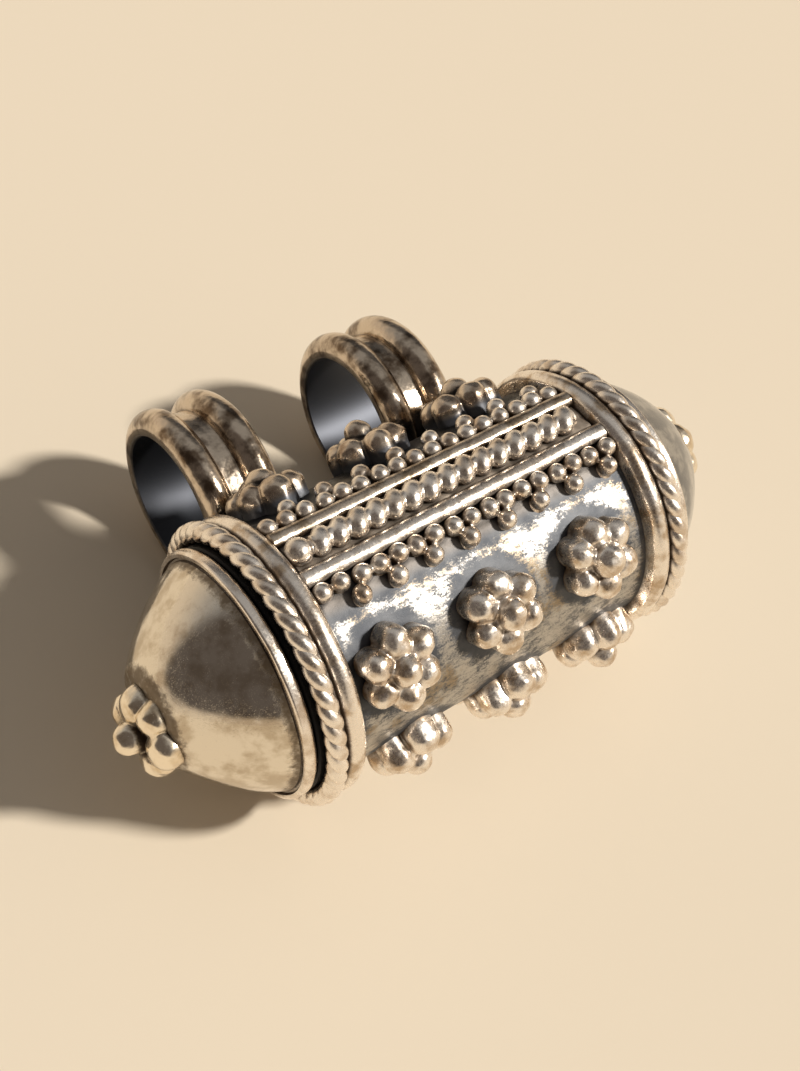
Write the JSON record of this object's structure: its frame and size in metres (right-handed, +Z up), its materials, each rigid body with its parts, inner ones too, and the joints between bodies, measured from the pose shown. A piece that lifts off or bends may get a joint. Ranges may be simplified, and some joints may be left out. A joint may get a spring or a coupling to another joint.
{
  "type": "tubular amulet case",
  "caption": "Round silver tube with domed, lobe-tipped caps, trimmed with twisted wire, granules and rosettes; hangs from a cord by its bails, and a cap pulls off to reach a rolled slip",
  "frame": {"origin": "centre of the whole box in X and Y, at the level of the table it lies on", "axes": "X along the tube with the pull-off cap at -X, Y towards the bails, Z up"},
  "size_m": [0.0446, 0.0301, 0.0185],
  "materials": {
    "tube_silver": "oxidised satin silver with burnished streaks",
    "collar_silver": "worn satin silver",
    "rope_silver": "worn silver, dark in the lay",
    "bail_silver": "worn silver, darker inside",
    "dome_silver": "polished silver with fine scratches",
    "rim_silver": "worn silver with a dark seam",
    "sleeve_silver": "plain drawn silver",
    "finial_silver": "worn silver, dark between the lobes",
    "panel_silver": "worn silver, dark in the creases",
    "granule_silver": "worn silver with brown patina in the gaps",
    "rosette_silver": "worn silver, dark between the lobes",
    "paper": "aged matt paper"
  },
  "bodies": {
    "case": {"case_tube": "tube_silver", "left_collar_wire": "collar_silver", "left_collar_rope": "rope_silver", "left_bail": "bail_silver", "right_collar_wire": "collar_silver", "right_collar_rope": "rope_silver", "right_bail": "bail_silver", "fixed_cap_dome": "dome_silver", "fixed_cap_rim": "rim_silver", "fixed_cap_sleeve": "sleeve_silver", "fixed_cap_finial": "finial_silver", "front_panel_beads": "panel_silver", "front_panel_wire_upper": "panel_silver", "front_granules_upper": "granule_silver", "front_panel_wire_lower": "panel_silver", "front_granules_lower": "granule_silver", "back_panel_beads": "panel_silver", "back_panel_wire_upper": "panel_silver", "back_granules_upper": "granule_silver", "back_panel_wire_lower": "panel_silver", "back_granules_lower": "granule_silver", "rosette_bail_side_1": "rosette_silver", "rosette_bail_side_2": "rosette_silver", "rosette_bail_side_3": "rosette_silver", "rosette_front_1": "rosette_silver", "rosette_front_2": "rosette_silver", "rosette_front_3": "rosette_silver", "rosette_lower_front_1": "rosette_silver", "rosette_lower_front_2": "rosette_silver", "rosette_lower_front_3": "rosette_silver", "rosette_underside_1": "rosette_silver", "rosette_underside_2": "rosette_silver", "rosette_underside_3": "rosette_silver"},
    "pull_cap": {"pull_cap_dome": "dome_silver", "pull_cap_rim": "rim_silver", "pull_cap_sleeve": "sleeve_silver", "pull_cap_finial": "finial_silver"},
    "scroll": {"prayer_scroll": "paper"}
  },
  "joints": [
    {"name": "cap_pull", "type": "slide", "parent": "case", "child": "pull_cap", "axis": [-1, 0, 0], "range_m": [0, 0.02]},
    {"name": "scroll_slide", "type": "slide", "parent": "case", "child": "scroll", "axis": [1, 0, 0], "range_m": [-0.002, 0.002]}
  ]
}
